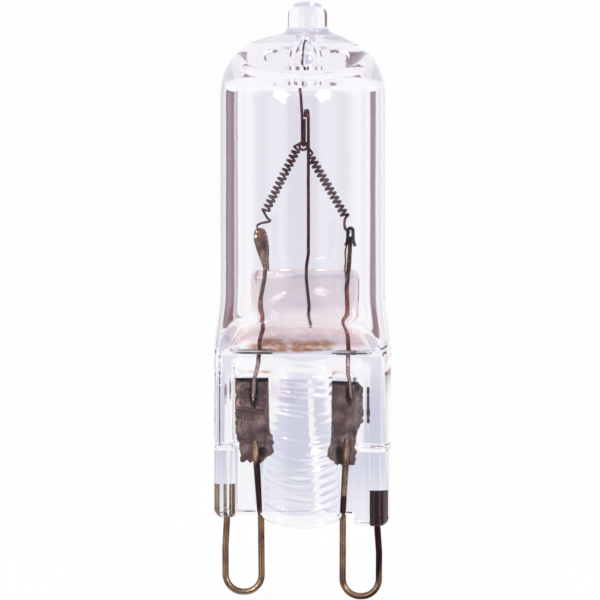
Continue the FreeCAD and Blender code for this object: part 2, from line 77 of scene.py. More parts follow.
# Rings: every vertex of a ring carries its own number, so that each new ring keeps its order
def startRing(bm, count):
    number = bm.verts.layers.int.get("number") or bm.verts.layers.int.new("number")
    verts = bmesh.ops.create_circle(bm, segments=count, radius=1.0)["verts"]
    for v in verts:
        angle = math.atan2(v.co.y, v.co.x) % (2 * math.pi)
        v[number] = round(angle / (2 * math.pi) * count) % count
    edges = {e for v in verts for e in v.link_edges}
    return number, verts, list(edges)


def stackRings(bm, count, rows):
    # each row turns a ring angle into a point in millimetres
    number, verts, first = startRing(bm, count)
    angles = [2 * math.pi * (i + 0.5) / count for i in range(count)]
    for v in verts:
        v.co = Vector(rows[0](angles[v[number]])) * mm
    ring = first
    for row in rows[1:]:
        made = bmesh.ops.extrude_edge_only(bm, edges=ring)["geom"]
        for v in (g for g in made if isinstance(g, bmesh.types.BMVert)):
            v.co = Vector(row(angles[v[number]])) * mm
        ring = [g for g in made if isinstance(g, bmesh.types.BMEdge)]
    return first, ring


def closeRings(bm, first, last):
    bmesh.ops.contextual_create(bm, geom=first)
    bmesh.ops.contextual_create(bm, geom=last)


# Wires: a section carried along a path without twist
def roundedPath(points, bend):
    points = [Vector(p) for p in points]
    path = [points[0]]
    for before, corner, after in zip(points, points[1:], points[2:]):
        back, ahead = before - corner, after - corner
        turn = math.pi - back.angle(ahead)
        if turn < 0.01:
            continue
        cut = min(bend * math.tan(turn / 2), 0.48 * min(back.length, ahead.length))
        radius = cut / math.tan(turn / 2)
        back.normalize()
        ahead.normalize()
        centre = corner + (back + ahead).normalized() * (radius / math.cos(turn / 2))
        spoke = corner + back * cut - centre
        axis = spoke.cross(corner + ahead * cut - centre).normalized()
        steps = max(3, int(turn / math.radians(8)))
        path += [centre + Quaternion(axis, turn * i / steps) @ spoke for i in range(steps + 1)]
    path.append(points[-1])
    return path


def smoothCurve(points, perSpan):
    points = [Vector(p) for p in points]
    ends = [2 * points[0] - points[1]] + points + [2 * points[-1] - points[-2]]
    path = []
    for a, b, c, d in zip(ends, ends[1:], ends[2:], ends[3:]):
        for i in range(perSpan):
            t = i / perSpan
            cubic = (3 * b - a - 3 * c + d) * t**3
            path.append(0.5 * (2 * b + (c - a) * t + (2 * a - 5 * b + 4 * c - d) * t**2 + cubic))
    path.append(points[-1])
    return path


def finerPath(path, longest):
    points = [path[0]]
    for a, b in zip(path, path[1:]):
        steps = max(1, math.ceil((b - a).length / longest))
        points += [a.lerp(b, i / steps) for i in range(1, steps + 1)]
    return points


def sweep(bm, path, radius, count=16, shape=None, power=2.0):
    # shape(share of the length) gives the in-plane and front-to-back factors of the section
    path = finerPath(path, 0.5)
    lengths = [0.0]
    for a, b in zip(path, path[1:]):
        lengths.append(lengths[-1] + (b - a).length)
    rows = []
    heading = (path[1] - path[0]).normalized()
    turn = Vector((0, 0, 1)).rotation_difference(heading)
    for i, point in enumerate(path):
        onward = (path[min(i + 1, len(path) - 1)] - path[max(i - 1, 0)]).normalized()
        turn = heading.rotation_difference(onward) @ turn
        heading = onward
        wide, deep = shape(lengths[i] / lengths[-1]) if shape else (1.0, 1.0)

        def place(angle, point=point, turn=turn.copy(), wide=wide, deep=deep):
            across = radius * wide * signedPower(math.cos(angle), 2 / power)
            along = radius * deep * signedPower(math.sin(angle), 2 / power)
            return point + turn @ Vector((across, along, 0))

        rows.append(place)
    first, last = stackRings(bm, count, rows)
    closeRings(bm, first, last)
    bmesh.ops.recalc_face_normals(bm, faces=bm.faces)


# Materials
def nodeMaterial(name):
    material = bpy.data.materials.new(name)
    material.use_nodes = True
    tree = material.node_tree
    tree.nodes.clear()
    output = tree.nodes.new("ShaderNodeOutputMaterial")
    shader = tree.nodes.new("ShaderNodeBsdfPrincipled")
    tree.links.new(shader.outputs["BSDF"], output.inputs["Surface"])
    return material, tree, shader, output


def nodeGroup(name, inputs, outputs):
    group = bpy.data.node_groups.new(name, "ShaderNodeTree")
    for label, kind, value in inputs:
        socket = group.interface.new_socket(label, in_out="INPUT", socket_type=kind)
        if value is not None:
            socket.default_value = value
    for label, kind in outputs:
        group.interface.new_socket(label, in_out="OUTPUT", socket_type=kind)
    return group, group.nodes.new("NodeGroupInput"), group.nodes.new("NodeGroupOutput")


def addMath(tree, operation, first, second):
    node = tree.nodes.new("ShaderNodeMath")
    node.operation = operation
    for socket, value in zip(node.inputs, (first, second)):
        if isinstance(value, (int, float)):
            socket.default_value = value
        else:
            tree.links.new(value, socket)
    return node.outputs["Value"]


def addRange(tree, value, low, high, start, end, smooth=False):
    node = tree.nodes.new("ShaderNodeMapRange")
    if smooth:
        node.interpolation_type = "SMOOTHSTEP"
    node.inputs["From Min"].default_value = low
    node.inputs["From Max"].default_value = high
    node.inputs["To Min"].default_value = start
    node.inputs["To Max"].default_value = end
    tree.links.new(value, node.inputs["Value"])
    return node.outputs["Result"]


def addMix(tree, share, first, second):
    node = tree.nodes.new("ShaderNodeMix")
    node.data_type = "RGBA"
    tree.links.new(share, node.inputs["Factor"])
    for socket, value in zip([s for s in node.inputs if s.type == "RGBA"], (first, second)):
        if isinstance(value, tuple):
            socket.default_value = (*value, 1)
        else:
            tree.links.new(value, socket)
    return [s for s in node.outputs if s.type == "RGBA"][0]


def addNoise(tree, vector, scale, detail):
    node = tree.nodes.new("ShaderNodeTexNoise")
    node.inputs["Detail"].default_value = detail
    if isinstance(scale, (int, float)):
        node.inputs["Scale"].default_value = scale
    else:
        tree.links.new(scale, node.inputs["Scale"])
    tree.links.new(vector, node.inputs["Vector"])
    return node.outputs["Fac"]


def addBump(tree, height, strength, distance):
    node = tree.nodes.new("ShaderNodeBump")
    node.inputs["Strength"].default_value = strength
    node.inputs["Distance"].default_value = distance
    tree.links.new(height, node.inputs["Height"])
    return node.outputs["Normal"]


def addVector(tree, operation, first, second=None):
    node = tree.nodes.new("ShaderNodeVectorMath")
    node.operation = operation
    for socket, value in zip(node.inputs, (first, second)):
        if isinstance(value, (tuple, Vector)):
            socket.default_value = value
        elif value is not None:
            tree.links.new(value, socket)
    return node.outputs["Value" if operation in ("LENGTH", "DOT_PRODUCT") else "Vector"]


def objectPlace(tree):
    return tree.nodes.new("ShaderNodeTexCoord").outputs["Object"]


def tarnishGroup():
    group, given, out = nodeGroup(
        "wireTarnish",
        (
            ("Base", "NodeSocketColor", (0.3, 0.2, 0.15, 1)),
            ("Tarnish", "NodeSocketColor", (0.1, 0.06, 0.05, 1)),
            ("Scale", "NodeSocketFloat", 900.0),
            ("Amount", "NodeSocketFloat", 0.5),
        ),
        (("Color", "NodeSocketColor"), ("Roughness", "NodeSocketFloat"), ("Height", "NodeSocketFloat")),
    )
    place = objectPlace(group)
    blotch = addNoise(group, place, given.outputs["Scale"], 5)
    drawn = addNoise(group, place, 7000, 3)
    blotched = addRange(group, blotch, 0.35, 0.68, 0, 1)
    tintShare = addMath(group, "MULTIPLY", blotched, given.outputs["Amount"])
    color = addMix(group, tintShare, given.outputs["Base"], given.outputs["Tarnish"])
    group.links.new(color, out.inputs["Color"])
    group.links.new(addRange(group, blotch, 0.3, 0.7, 0.15, 0.36), out.inputs["Roughness"])
    group.links.new(drawn, out.inputs["Height"])
    return group


def ovalPatchGroup():
    # 1 inside an upright oval seen from the front, easing to 0 at its rim
    group, given, out = nodeGroup(
        "ovalPatch",
        (("Centre", "NodeSocketVector", None), ("Reach", "NodeSocketVector", None)),
        (("Fac", "NodeSocketFloat"),),
    )
    offset = addVector(group, "SUBTRACT", objectPlace(group), given.outputs["Centre"])
    scaled = addVector(group, "DIVIDE", offset, given.outputs["Reach"])
    length = addVector(group, "LENGTH", addVector(group, "MULTIPLY", scaled, (1, 0, 1)))
    group.links.new(addRange(group, length, 0.72, 1.05, 1, 0, True), out.inputs["Fac"])
    return group


tarnish = tarnishGroup()
ovalPatch = ovalPatchGroup()


def addPatches(tree, patches):
    # each patch: x, z and its reach along X and Z, in millimetres
    total = None
    for x, z, acrossReach, upReach in patches:
        node = tree.nodes.new("ShaderNodeGroup")
        node.node_tree = ovalPatch
        node.inputs["Centre"].default_value = (x * mm, 0, z * mm)
        node.inputs["Reach"].default_value = (acrossReach * mm, 1, upReach * mm)
        fac = node.outputs["Fac"]
        total = fac if total is None else addMath(tree, "MAXIMUM", total, fac)
    return total


edgeShadeShare = 0.25  # the painted edge shade's tone beside the stain's


def metalMaterial(name, base, stain, scale, amount, metallic, bump, patchSets=()):
    material, tree, shader, _ = nodeMaterial(name)
    wear = tree.nodes.new("ShaderNodeGroup")
    wear.node_tree = tarnish
    wear.inputs["Base"].default_value = (*base, 1)
    wear.inputs["Tarnish"].default_value = (*stain, 1)
    wear.inputs["Scale"].default_value = scale
    wear.inputs["Amount"].default_value = amount
    color = wear.outputs["Color"]
    for patches, patchColor in patchSets:
        color = addMix(tree, addPatches(tree, patches), color, patchColor)
    # painted shade: the colour darkens toward the edges that turn away from the view
    facing = tree.nodes.new("ShaderNodeLayerWeight").outputs["Facing"]
    edgeShade = addRange(tree, facing, 0.5, 0.85, 0, 0.8, True)
    color = addMix(tree, edgeShade, color, tuple(edgeShadeShare * c for c in stain))
    tree.links.new(color, shader.inputs["Base Color"])
    tree.links.new(wear.outputs["Roughness"], shader.inputs["Roughness"])
    tree.links.new(addBump(tree, wear.outputs["Height"], bump, 0.00003), shader.inputs["Normal"])
    shader.inputs["Metallic"].default_value = metallic
    return material


# Quartz: how it bends light, where the bubbly tip begins, and the painted glow that stands in for light
# caught in it
quartzLook = {
    "ior": 1.458,
    "tipIor": 1.17,
    "tipStart": 35.2,
    "tipEnd": 36.6,
    "drawing": (1, 1, 0.22),
    "caughtBounce": 4,
    "paintedGlow": 0.9,
    "paintedGlowColor": (0.86, 0.86, 0.9, 1),
}


def quartzMaterial(name, tint, density, tintPatches=()):
    q = quartzLook
    material, tree, shader, output = nodeMaterial(name)
    shader.inputs["Transmission Weight"].default_value = 1.0
    shader.inputs["Metallic"].default_value = 0.0
    place = objectPlace(tree)
    # the small bubbly tip bends light less than the clear quartz below
    parts = tree.nodes.new("ShaderNodeSeparateXYZ")
    tree.links.new(place, parts.inputs["Vector"])
    start, end = q["tipStart"] * mm, q["tipEnd"] * mm
    bending = addRange(tree, parts.outputs["Z"], start, end, q["ior"], q["tipIor"], True)
    tree.links.new(bending, shader.inputs["IOR"])
    drawn = addVector(tree, "MULTIPLY", place, q["drawing"])
    streaks = addNoise(tree, drawn, 330, 2)
    speckle = addNoise(tree, place, 1400, 4)
    height = addMath(tree, "ADD", streaks, addMath(tree, "MULTIPLY", speckle, 0.12))
    tree.links.new(addBump(tree, height, 0.14, 0.0001), shader.inputs["Normal"])
    tree.links.new(addRange(tree, speckle, 0.3, 0.8, 0.0, 0.02), shader.inputs["Roughness"])
    color = addMix(tree, streaks, (0.985, 0.98, 1.0), (1.0, 1.0, 1.0))
    # tints laid into the quartz's colour, painted refraction and painted shade among them
    for patches, tintColor, amount in tintPatches:
        uneven = addRange(tree, speckle, 0.3, 0.52, 0, amount)
        tintShare = addMath(tree, "MULTIPLY", addPatches(tree, patches), uneven)
        color = addMix(tree, tintShare, color, tintColor)
    tree.links.new(color, shader.inputs["Base Color"])
    # painted glow: the quartz emits a pale glow where the glossy depth reaches the caught bounce, in
    # place of the black left by light caught in the thick corners
    bounces = tree.nodes.new("ShaderNodeLightPath").outputs["Glossy Depth"]
    caught = addMath(tree, "COMPARE", bounces, q["caughtBounce"])
    shader.inputs["Emission Color"].default_value = q["paintedGlowColor"]
    glow = addMath(tree, "MULTIPLY", caught, q["paintedGlow"])
    tree.links.new(glow, shader.inputs["Emission Strength"])
    body = tree.nodes.new("ShaderNodeVolumeAbsorption")
    body.inputs["Color"].default_value = (*tint, 1)
    body.inputs["Density"].default_value = density
    tree.links.new(body.outputs["Volume"], output.inputs["Volume"])
    return material


# Tints in the quartz's colour: ovals, tone and strength
# an amber tint across the floor of the gas space
amberBand = ((-0.7, 13.15, 3.6, 0.55),)
# painted refraction: pink patches about the shoulder, standing in for the pink the quartz bends in from
# around it
pinkRefractionTint = ((3.9, 13.9, 1.7, 1.1), (-4.9, 14.4, 0.9, 1.3), (0.2, 14.1, 5.2, 1.0))
mauveColumn = ((-1.1, 9.5, 1.35, 0.95),)
# painted shade: dark slivers on the left rail where dark refracted surroundings show through the quartz
railShadeSlivers = ((-6.62, 7.8, 0.2, 2.2), (-5.63, 9.5, 0.12, 0.95))
quartzTints = (
    (amberBand, (0.42, 0.18, 0.08), 1.0),
    (pinkRefractionTint, (0.93, 0.8, 0.79), 1.0),
    (mauveColumn, (0.8, 0.72, 0.84), 0.7),
    (railShadeSlivers, (0.13, 0.1, 0.11), 1.0),
)
quartz = quartzMaterial("quartz", (0.66, 0.58, 0.74), 34, quartzTints)
bridgeQuartz = quartzMaterial("bridgeQuartz", (0.79, 0.64, 0.66), 230)

# Patches on the metals: ovals and tone
capillaryShadows = (
    (-3.68, 9.45, 0.42, 1.4),
    (3.74, 9.55, 0.44, 1.25),
    (-3.05, 4.85, 0.75, 0.42),
    (2.88, 4.65, 0.4, 0.8),
    (4.6, 9.9, 0.35, 0.5),
    (-3.8, 10.45, 1.6, 0.3),
    (3.4, 10.3, 1.7, 0.3),
)
foilPatches = ((capillaryShadows, (0.012, 0.005, 0.008)),)
# painted shade: the loops are darkened to maroon where they run inside the quartz
inQuartzShade = ((-3.3, 2.3, 0.6, 2.4), (3.22, 0.9, 0.5, 0.8), (5.78, -1.2, 0.5, 4.4))
loopPatches = ((inQuartzShade, (0.035, 0.01, 0.014)),)
rustyLeads = ((-3.05, 15.0, 0.6, 1.9), (3.5, 15.4, 0.5, 2.6))
paleWelds = ((-3.55, 10.4, 0.6, 2.2), (3.7, 10.4, 0.6, 2.2))
leadPatches = ((rustyLeads, (0.17, 0.05, 0.036)), (paleWelds, (0.4, 0.27, 0.27)))
# painted shade: the right clamp is darkened all over
stapleShade = ((3.68, 21.4, 0.6, 1.0),)
# painted highlight: a near-white dot on the left clamp
clampGlint = ((-3.6, 21.37, 0.1, 0.14),)
clampPatches = ((stapleShade, (0.022, 0.01, 0.012)), (clampGlint, (0.9, 0.88, 0.86)))

# Metals: base, stain, scale and amount of the stain, metallic, bump
metals = {
    "foilMetal": ((0.19, 0.125, 0.12), (0.05, 0.024, 0.028), 1300, 0.95, 0.7, 0.9, foilPatches),
    "loopMetal": ((0.33, 0.215, 0.135), (0.07, 0.034, 0.03), 700, 0.9, 0.95, 0.5, loopPatches),
    "leadMetal": ((0.1, 0.032, 0.03), (0.03, 0.012, 0.016), 900, 0.7, 0.9, 0.7, leadPatches),
    "clampMetal": ((0.3, 0.19, 0.14), (0.04, 0.018, 0.016), 1500, 0.9, 0.9, 0.8, clampPatches),
    "coilMetal": ((0.12, 0.026, 0.042), (0.03, 0.008, 0.014), 1500, 0.8, 0.9, 0.6),
    "postMetal": ((0.085, 0.02, 0.034), (0.02, 0.006, 0.01), 900, 0.8, 0.9, 0.6),
}
metal = {name: metalMaterial(name, *look) for name, look in metals.items()}
print("materials made")

# Quartz envelope: an outer skin and the skin of the gas space
envelope = {
    "around": 320,
    "tubeRadius": 6.3,
    "boreRadius": 5.2,
    "pinchTop": 12.2,
    "shoulderTop": 17.4,
    "bendStart": 31.9,
    "bendRadius": 6.3,
    "bendHeight": 0.9,
    "domeStart": 32.25,
    "domeCorner": 1.9,
    "cornerRadius": 4.36,
    "crownRadius": 9.0,
    "pinchHalfWidth": 6.77,
    "railHalfDepth": 2.3,
    "pressPower": 14.0,
    "railWidth": 1.6,
    "webHalfDepth": 1.4,
    "pocketTop": 11.5,
    "pocketRise": {"below": 0.75, "height": 1.45},
    "slope": {"left": 0.15, "right": 1.25},
    "footTop": 5.25,
    "footLedge": 0.2,
    "footWidth": 1.8,
    "footHalfDepth": 2.05,
    "footPower": 2.3,
    "footSlopeDepth": 1.75,
    "footDrop": {"left": 0.2, "right": 0.75},
    "footEdge": 0.25,
    "bottomCorner": 0.85,
    "bottomRounding": {"web": 0.3, "nose": 1.3},
    "columnTopHalfWidth": 2.4,
    "columnHalfWidth": 2.95,
    "columnHalfDepth": 2.05,
    "ribPitch": 0.64,
    "ribDepth": 0.02,
    "ribSag": 0.95,
    "noseDrop": 1.07,
    "tipRadius": 1.5,
    "tipCorner": 1.05,
    "tipTop": 39.3,
    "tipCrown": {"edge": 0.08, "centre": 0.02, "radius": 0.22},
    "tipOffset": 0.39,
    "rootRadius": 0.75,
    "rootTurn": 84,
    "pinchRows": 150,
    "bottomRows": 14,
    "shoulderRows": 26,
    "tubeRows": 12,
}


def shoulderShape(z):
    e = envelope
    t = ease((z - e["pinchTop"]) / (e["shoulderTop"] - e["pinchTop"]))
    halfWidth = between(e["pinchHalfWidth"], e["tubeRadius"], t)
    halfDepth = between(e["railHalfDepth"], e["tubeRadius"], t)
    return halfWidth, halfDepth, t**4


def ovalDepth(x, halfWidth, halfDepth, power):
    return halfDepth * (1 - min(1.0, abs(x) / halfWidth) ** power) ** (1 / power)


def pressedDepth(x, halfWidth, halfDepth, roundness):
    # a round tube pressed flat at front and back, with its sides left round
    circle = math.sqrt(max(1e-9, halfWidth**2 - x * x))
    power = envelope["pressPower"]
    pressed = circle * (1 + (circle / halfDepth) ** power) ** (-1 / power)
    return between(pressed, circle, roundness)


def shoulderRow(z, inset=0.0, filling=0.0):
    halfWidth, halfDepth, roundness = shoulderShape(z)

    def place(angle):
        x = (halfWidth - inset) * math.cos(angle)
        depth = pressedDepth(x, halfWidth - inset, halfDepth - inset + filling, roundness)
        return x, math.copysign(depth, math.sin(angle)), z

    return place


def pinchBottom(x):
    e = envelope
    side = "left" if x < 0 else "right"
    reach = e["pinchHalfWidth"] - e["railWidth"] - e["slope"][side]
    foot = e["footDrop"][side] * ease((abs(x) - reach) / e["footEdge"])
    nose = e["noseDrop"] * max(0.0, 1 - (x / (1.03 * e["columnHalfWidth"])) ** 2) ** 0.5
    corner = e["bottomCorner"]
    past = limit((abs(x) - e["pinchHalfWidth"] + corner) / corner)
    return -foot - nose + corner * (1 - math.sqrt(1 - past * past))


def columnDepth(x, z):
    e = envelope
    halfWidth = between(e["columnHalfWidth"], e["columnTopHalfWidth"], ease((z - 2) / 6))
    side = abs(x) / halfWidth
    if side >= 1:
        return 0.0
    dip = 1 - side * side
    sag = e["ribSag"] * ease(1.15 - z / e["pocketTop"])
    # pressed ribs are never quite even
    uneven = 0.55 + 0.9 * noise.noise(Vector((0.5 * x, 0.8, 0.9 * z)))
    ribs = uneven * math.cos(2 * math.pi * (z + sag * dip + 0.06 * math.sin(1.7 * x)) / e["ribPitch"])
    web = e["webHalfDepth"]
    return web + (e["columnHalfDepth"] - web + e["ribDepth"] * ribs) * (1 - side**3) ** 1.2


def pinchDepth(x, z):
    e = envelope
    side = "left" if x < 0 else "right"
    reach = e["pinchHalfWidth"] - e["railWidth"]
    climb = limit((abs(x) - reach + e["slope"][side]) / e["slope"][side])
    climb = between(climb, ease(climb), 0.5)
    low = ease((e["footTop"] + e["footLedge"] / 2 - z) / e["footLedge"])
    outline = pressedDepth(x, e["pinchHalfWidth"], e["railHalfDepth"], 0.0)
    rail = between(e["webHalfDepth"], outline, climb)
    footHalf = e["footWidth"] / 2
    rodSide = abs(x) - e["pinchHalfWidth"] + footHalf
    rod = ovalDepth(rodSide, footHalf, e["footHalfDepth"], e["footPower"])
    beside = between(e["webHalfDepth"], e["footSlopeDepth"], climb) if abs(x) < reach + 0.3 else 0.0
    wall = between(rail, max(rod, beside), low)
    pressed = max(wall, min(columnDepth(x, z), outline))
    rising = limit((z - e["pocketTop"] + e["pocketRise"]["below"]) / e["pocketRise"]["height"])
    return between(min(pressed, outline), outline, between(rising, ease(rising), 0.4))


def pinchRow(share):
    e = envelope

    def place(angle):
        x = e["pinchHalfWidth"] * math.cos(angle)
        bottom = pinchBottom(x)
        z = between(bottom, e["pinchTop"], share)
        inward = ease(1.3 - abs(x) / e["columnHalfWidth"])
        edge = between(e["bottomRounding"]["web"], e["bottomRounding"]["nose"], inward)
        rise = min(1.0, (z - bottom) / edge)
        rounded = math.sqrt(max(0.0, 1 - (1 - rise) ** 2))
        return x, math.copysign(pinchDepth(x, z) * rounded, math.sin(angle)), z

    return place


def sectionRow(z, halfWidth, halfDepth, power, offset=0.0):
    def place(angle):
        x = halfWidth * math.cos(angle)
        return x + offset, math.copysign(ovalDepth(x, halfWidth, halfDepth, power), math.sin(angle)), z

    return place


def domeOutline():
    # radius, height and offset from the tube's end to the top of the tip
    e = envelope
    across = e["domeCorner"]
    drop = math.sqrt((e["crownRadius"] - e["cornerRadius"]) ** 2 - across**2)
    meeting = math.atan2(drop, across)
    crownCentre = e["domeStart"] - drop
    rows = []
    for i in range(1, 9):
        rise = e["bendHeight"] * i / 8
        rows.append((e["tubeRadius"] - rise**2 / (2 * e["bendRadius"]), e["bendStart"] + rise, 0.0))
    for i in range(3, 19):
        angle = meeting * i / 18
        r = across + e["cornerRadius"] * math.cos(angle)
        rows.append((r, e["domeStart"] + e["cornerRadius"] * math.sin(angle), 0.0))
    rootOuter = e["tipRadius"] + e["rootRadius"]
    start = rows[-1][0]
    for i in range(1, 9):
        r = between(start, rootOuter, i / 8)
        z = crownCentre + math.sqrt(e["crownRadius"] ** 2 - r * r)
        rows.append((r, z, e["tipOffset"] * ease(i / 8)))
    base = rows[-1][1]
    for i in range(1, 8):
        angle = math.radians(e["rootTurn"]) * i / 7
        r = rootOuter - e["rootRadius"] * math.sin(angle)
        rows.append((r, base + e["rootRadius"] * (1 - math.cos(angle)), e["tipOffset"]))
    corner, crown = e["tipCorner"], e["tipCrown"]
    for i in range(10):
        angle = math.pi / 2 * i / 9
        r = e["tipRadius"] - corner + corner * math.cos(angle)
        rows.append((r, e["tipTop"] - crown["edge"] - corner + corner * math.sin(angle), e["tipOffset"]))
    rows.append((crown["radius"], e["tipTop"] - crown["centre"], e["tipOffset"]))
    return rows


def makeEnvelope():
    e = envelope
    bm = bmesh.new()
    rows = []
    for i in range(e["pinchRows"]):
        share = i / e["pinchRows"]
        if i < e["bottomRows"]:
            share = (i / e["bottomRows"]) ** 1.6 * e["bottomRows"] / e["pinchRows"]
        rows.append(pinchRow(share))
    for i in range(e["shoulderRows"]):
        rows.append(shoulderRow(between(e["pinchTop"], e["shoulderTop"], i / e["shoulderRows"])))
    for i in range(e["tubeRows"] + 1):
        z = between(e["shoulderTop"], e["bendStart"], i / e["tubeRows"])
        rows.append(sectionRow(z, e["tubeRadius"], e["tubeRadius"], 2.0))
    for r, z, offset in domeOutline():
        rows.append(sectionRow(z, r, r, 2.0, offset))
    _, last = stackRings(bm, e["around"], rows)
    bmesh.ops.contextual_create(bm, geom=last)
    bmesh.ops.remove_doubles(bm, verts=bm.verts, dist=0.000001)
    bmesh.ops.recalc_face_normals(bm, faces=bm.faces)
    addGasSpace(bm)
    return bm


gasSpace = {
    "around": 160,
    "floor": 12.5,
    "wall": 1.1,
    "pressedFilling": 0.2,
    "floorRound": 0.8,
    "roof": 33.86,
    "cornerRadius": 1.6,
    "holeRadius": 0.95,
    "lipWidth": 1.5,
    "lipDrop": 0.85,
    "holeTop": 36.6,
    "holeOffset": 0.2,
}


def addGasSpace(bm):
    c, e = gasSpace, envelope
    rows = []
    for i in range(24):
        z = between(c["floor"], e["shoulderTop"], (i / 24) ** 1.5)
        rise = min(1.0, (z - c["floor"]) / c["floorRound"])
        inset = c["wall"] + c["floorRound"] * (1 - math.sqrt(max(0.0, 1 - (1 - rise) ** 2)))
        flat = (e["tubeRadius"] - shoulderShape(z)[1]) / (e["tubeRadius"] - e["railHalfDepth"])
        rows.append(shoulderRow(z, inset, c["pressedFilling"] * flat))
    for i in range(e["tubeRows"] + 1):
        z = between(e["shoulderTop"], c["roof"] - c["cornerRadius"], i / e["tubeRows"])
        rows.append(sectionRow(z, e["boreRadius"], e["boreRadius"], 2.0))
    centre = e["boreRadius"] - c["cornerRadius"]
    for i in range(1, 13):
        angle = math.pi / 2 * i / 12
        r = centre + c["cornerRadius"] * math.cos(angle)
        rows.append(sectionRow(c["roof"] - c["cornerRadius"] * (1 - math.sin(angle)), r, r, 2.0))
    half = c["lipWidth"] / 2
    ring = c["holeRadius"] + half
    for i in range(6):
        share = (i + 1) / 6
        r = between(centre, ring + half + 0.25, share)
        rows.append(sectionRow(c["roof"], r, r, 2.0, c["holeOffset"] * ease(share)))
    for i in range(17):
        angle = math.pi * i / 16
        r = ring + half * math.cos(angle)
        rows.append(sectionRow(c["roof"] - c["lipDrop"] * math.sin(angle), r, r, 2.0, c["holeOffset"]))
    for i in range(1, 12):
        angle = math.pi / 2 * i / 12
        r = c["holeRadius"] * math.cos(angle)
        z = between(c["roof"], c["holeTop"], math.sin(angle))
        rows.append(sectionRow(z, r, r, 2.0, c["holeOffset"]))
    inner = bmesh.new()
    first, last = stackRings(inner, c["around"], rows)
    closeRings(inner, first, last)
    bmesh.ops.recalc_face_normals(inner, faces=inner.faces)
    bmesh.ops.reverse_faces(inner, faces=inner.faces)  # this skin faces the gas
    shell = bpy.data.meshes.new("gasSkin")
    inner.to_mesh(shell)
    inner.free()
    bm.from_mesh(shell)
    bpy.data.meshes.remove(shell)


finishPiece(makeEnvelope(), "quartzEnvelope", quartz, "glass_envelope")
print("envelope made")

# Quartz bridge
bridge = {
    "centre": (0.3, 0.0, 16.78),
    "size": (8.3, 2.6, 4.15),
    "bevel": 0.6,
    "wave": 0.05,
    "waveScale": 0.55,
}


def makeBridge():
    b = bridge
    bm = bmesh.new()
    made = bmesh.ops.create_cube(bm, size=1.0)["verts"]
    bmesh.ops.scale(bm, vec=Vector(b["size"]) * mm, verts=made)
    size = b["bevel"] * mm
    edges = bm.edges[:]
    bmesh.ops.bevel(bm, geom=edges, offset=size, segments=8, profile=0.5, affect="EDGES", material=-1)
    bmesh.ops.subdivide_edges(bm, edges=bm.edges[:], cuts=2, use_grid_fill=True)
    for v in bm.verts:
        v.co *= 1 - b["wave"] * limit(0.5 + noise.noise(v.co / mm * b["waveScale"]))
    bmesh.ops.translate(bm, vec=Vector(b["centre"]) * mm, verts=bm.verts[:])
    bmesh.ops.recalc_face_normals(bm, faces=bm.faces)
    return bm


finishPiece(makeBridge(), "bridgeBead", bridgeQuartz, "mount_bridge")
print("bridge made")

# Seal foils: a thin sheet between two listed edges, torn along its foot
foils = {
    "thickness": 0.05,
    "ripple": 0.05,
    "tear": 0.13,
    "left": {
        "outer": ((-5.12, 10.51), (-5.15, 7.2), (-4.99, 5.84), (-4.77, 5.17), (-4.66, 4.18)),
        "inner": (
            (-2.51, 10.56),
            (-2.41, 7.58),
            (-2.24, 6.51),
            (-1.93, 6.01),
            (-1.91, 4.77),
            (-3.1, 4.1),
        ),
    },
    "right": {
        "outer": (
            (4.82, 10.3),
            (5.2, 9.9),
            (5.22, 7.4),
            (4.9, 6.9),
            (4.65, 6.4),
            (4.37, 5.0),
            (4.14, 3.93),
        ),
        "inner": ((2.21, 10.38), (2.11, 7.2), (1.95, 5.61), (1.72, 4.55), (2.52, 3.95)),
    },
}


def edgePoint(points, share):
    steps = [math.dist(a, b) for a, b in zip(points, points[1:])]
    left = share * sum(steps)
    for a, b, step in zip(points, points[1:], steps):
        if left <= step:
            return between(a[0], b[0], left / step), between(a[1], b[1], left / step)
        left -= step
    return points[-1]


def makeFoil(side):
    f = foils
    bm = bmesh.new()
    bmesh.ops.create_grid(bm, x_segments=30, y_segments=60, size=0.5)
    for v in bm.verts:
        across, down = v.co.x + 0.5, 0.5 - v.co.y
        outer = edgePoint(f[side]["outer"], down)
        inner = edgePoint(f[side]["inner"], down)
        x, z = between(outer[0], inner[0], across), between(outer[1], inner[1], across)
        rough = f["tear"] * noise.noise(Vector((4 * x, 3.1, 4 * z)))
        x += rough * (abs(2 * across - 1) ** 8) * (0.3 + down)
        z += rough * 1.6 * down**12
        y = f["ripple"] * noise.noise(Vector((1.3 * x, 7.7, 1.1 * z)))
        v.co = Vector((x, y, z)) * mm
    bmesh.ops.solidify(bm, geom=bm.faces[:], thickness=f["thickness"] * mm)
    bmesh.ops.recalc_face_normals(bm, faces=bm.faces)
    return bm


for side in sides:
    finishPiece(makeFoil(side), side + "Foil", metal["foilMetal"], side + "_seal_foil", 30)
print("foils made")

